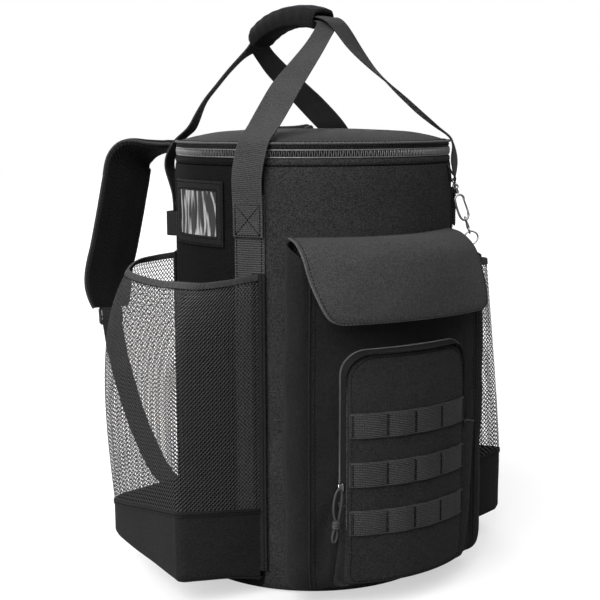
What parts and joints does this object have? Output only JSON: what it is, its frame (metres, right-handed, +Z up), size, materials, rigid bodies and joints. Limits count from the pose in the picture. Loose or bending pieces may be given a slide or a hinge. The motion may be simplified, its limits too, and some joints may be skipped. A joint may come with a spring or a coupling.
{
  "type": "baseball bucket bag",
  "caption": "Round upright cloth bucket bag with a zipped domed lid, carry handles with a padded grip, flapped and zipped front pockets, net side pockets, shoulder straps and a snap clip.",
  "frame": {"origin": "middle of the round base on the floor", "axes": "+Z up the tub, -Y towards the front pocket, +X to the side with the snap clip"},
  "size_m": [0.4429, 0.449, 0.6192],
  "materials": {
    "clear_sheet": "clear soft sheet",
    "cloth": "fine oxford weave",
    "cord": "braided cord",
    "dark_cloth": "fine oxford weave",
    "flap_cloth": "fine oxford weave",
    "metal": "dull nickel",
    "moulded_plastic": "moulded",
    "net": "open knitted net",
    "padding": "padded, net faced",
    "webbing": "ribbed webbing",
    "zip_coil": "coil zip on woven tape"
  },
  "bodies": {
    "bag": {"base_panel": "cloth", "body_tub": "cloth", "rim_band": "cloth", "lid_zipper": "zip_coil", "lid_hinge": "cloth", "lid": "cloth", "lid_piping": "cloth", "lid_slider": "metal", "anchor_strip_front_left": "webbing", "anchor_strip_back_left": "webbing", "anchor_strip_front_right": "webbing", "anchor_strip_back_right": "webbing", "handle_strap_left": "webbing", "handle_strap_right": "webbing", "handle_grip": "padding", "front_pocket": "cloth", "front_flap": "flap_cloth", "zip_pocket": "cloth", "zip_pocket_zipper": "zip_coil", "webbing_band_1": "webbing", "webbing_band_2": "webbing", "webbing_band_3": "webbing", "zip_slider": "metal", "zip_pull_cord": "cord", "zip_pull_knot": "cord", "side_pocket_base_left": "cloth", "side_pocket_mesh_left": "net", "side_pocket_rim_left": "webbing", "side_pocket_edge_front_left": "cloth", "side_pocket_edge_back_left": "cloth", "side_loop_left": "webbing", "side_pocket_base_right": "cloth", "side_pocket_mesh_right": "net", "side_pocket_rim_right": "webbing", "side_pocket_edge_front_right": "cloth", "side_pocket_edge_back_right": "cloth", "side_loop_right": "webbing", "id_frame": "dark_cloth", "id_window": "clear_sheet", "shoulder_pad_left": "padding", "ladder_lock_left": "moulded_plastic", "shoulder_web_left": "webbing", "shoulder_pad_right": "padding", "ladder_lock_right": "moulded_plastic", "shoulder_web_right": "webbing", "clip_tab": "cloth", "clip_swivel": "metal", "clip_hook": "metal", "clip_link": "metal", "clip_end_ring": "metal", "clip_ring": "metal"},
    "gate": {"clip_gate": "metal"}
  },
  "joints": [
    {"name": "gate_hinge", "type": "hinge", "parent": "bag", "child": "gate", "pos_m": [0.11509, -0.1331, 0.39594], "axis": [-0.5286, -0.8365, 0.1442], "range_deg": [0, 20], "stiffness_Nm_per_rad": 0.002}
  ]
}
